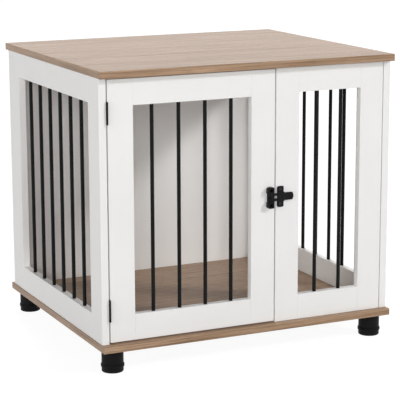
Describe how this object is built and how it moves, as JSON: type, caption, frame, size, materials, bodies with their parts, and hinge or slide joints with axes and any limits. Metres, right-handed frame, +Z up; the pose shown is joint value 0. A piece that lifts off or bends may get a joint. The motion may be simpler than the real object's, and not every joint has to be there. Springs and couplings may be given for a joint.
{
  "type": "dog crate end table",
  "caption": "Box-shaped pet crate used as an end table: wood-grain top and base, white framed sides with round black bars, a hinged barred door with a slide latch, and levelling feet.",
  "frame": {"origin": "on the floor under the middle of the two boards", "axes": "+Z up, +X to the right seen from the door side, +Y to the back; the door is on the -Y side"},
  "size_m": [0.68, 0.584, 0.628],
  "materials": {
    "wood_grain_board": "pale greige oak grain, satin",
    "white_paint": "white painted board, satin",
    "black_bar": "black powder coat",
    "black_hinge": "black powder coat",
    "black_latch": "black powder coat",
    "black_screw": "black oxide",
    "black_plastic": "matt moulded",
    "dowel_wood": "plain beech",
    "zinc_fitting": "zinc plated"
  },
  "bodies": {
    "case": {"back_panel": "white_paint", "bottom_board": "wood_grain_board", "cam_bolts": "zinc_fitting", "cam_discs": "zinc_fitting", "case_screws": "black_screw", "fixed_bar_1": "black_bar", "fixed_bar_2": "black_bar", "fixed_bottom_rail": "white_paint", "fixed_inner_stile": "white_paint", "fixed_outer_stile": "white_paint", "fixed_top_rail": "white_paint", "frame_dowels": "dowel_wood", "front_left_foot_sleeve": "black_plastic", "front_right_foot_sleeve": "black_plastic", "latch_housing": "black_latch", "left_bar_1": "black_bar", "left_bar_2": "black_bar", "left_bar_3": "black_bar", "left_bar_4": "black_bar", "left_bar_5": "black_bar", "left_bar_6": "black_bar", "left_bottom_rail": "white_paint", "left_front_stile": "white_paint", "left_rear_stile": "white_paint", "left_top_rail": "white_paint", "lower_hinge_frame_leaf": "black_hinge", "lower_hinge_pin": "black_hinge", "rear_left_foot_sleeve": "black_plastic", "rear_right_foot_sleeve": "black_plastic", "right_bar_1": "black_bar", "right_bar_2": "black_bar", "right_bar_3": "black_bar", "right_bar_4": "black_bar", "right_bar_5": "black_bar", "right_bar_6": "black_bar", "right_bottom_rail": "white_paint", "right_front_stile": "white_paint", "right_rear_stile": "white_paint", "right_top_rail": "white_paint", "top_board": "wood_grain_board", "upper_hinge_frame_leaf": "black_hinge", "upper_hinge_pin": "black_hinge"},
    "door": {"door_bar_1": "black_bar", "door_bar_2": "black_bar", "door_bar_3": "black_bar", "door_bar_4": "black_bar", "door_bottom_rail": "white_paint", "door_dowels": "dowel_wood", "door_hinge_stile": "white_paint", "door_latch_stile": "white_paint", "door_screws": "black_screw", "door_top_rail": "white_paint", "latch_keeper": "black_latch", "lower_hinge_door_leaf": "black_hinge", "upper_hinge_door_leaf": "black_hinge"},
    "latch_bolt": {"latch_bolt": "black_latch"},
    "front_left_foot": {"front_left_foot_base": "black_plastic"},
    "front_right_foot": {"front_right_foot_base": "black_plastic"},
    "rear_left_foot": {"rear_left_foot_base": "black_plastic"},
    "rear_right_foot": {"rear_right_foot_base": "black_plastic"}
  },
  "joints": [
    {"name": "door_hinge", "type": "hinge", "parent": "case", "child": "door", "pos_m": [-0.3205, -0.28, 0.338], "axis": [0, 0, -1], "range_deg": [0, 170]},
    {"name": "latch_slide", "type": "slide", "parent": "case", "child": "latch_bolt", "axis": [-1, 0, 0], "range_m": [0, 0.014]},
    {"name": "front_left_foot_level", "type": "slide", "parent": "case", "child": "front_left_foot", "axis": [0, 0, -1], "range_m": [0, 0.01]},
    {"name": "front_right_foot_level", "type": "slide", "parent": "case", "child": "front_right_foot", "axis": [0, 0, -1], "range_m": [0, 0.01]},
    {"name": "rear_left_foot_level", "type": "slide", "parent": "case", "child": "rear_left_foot", "axis": [0, 0, -1], "range_m": [0, 0.01]},
    {"name": "rear_right_foot_level", "type": "slide", "parent": "case", "child": "rear_right_foot", "axis": [0, 0, -1], "range_m": [0, 0.01]}
  ]
}
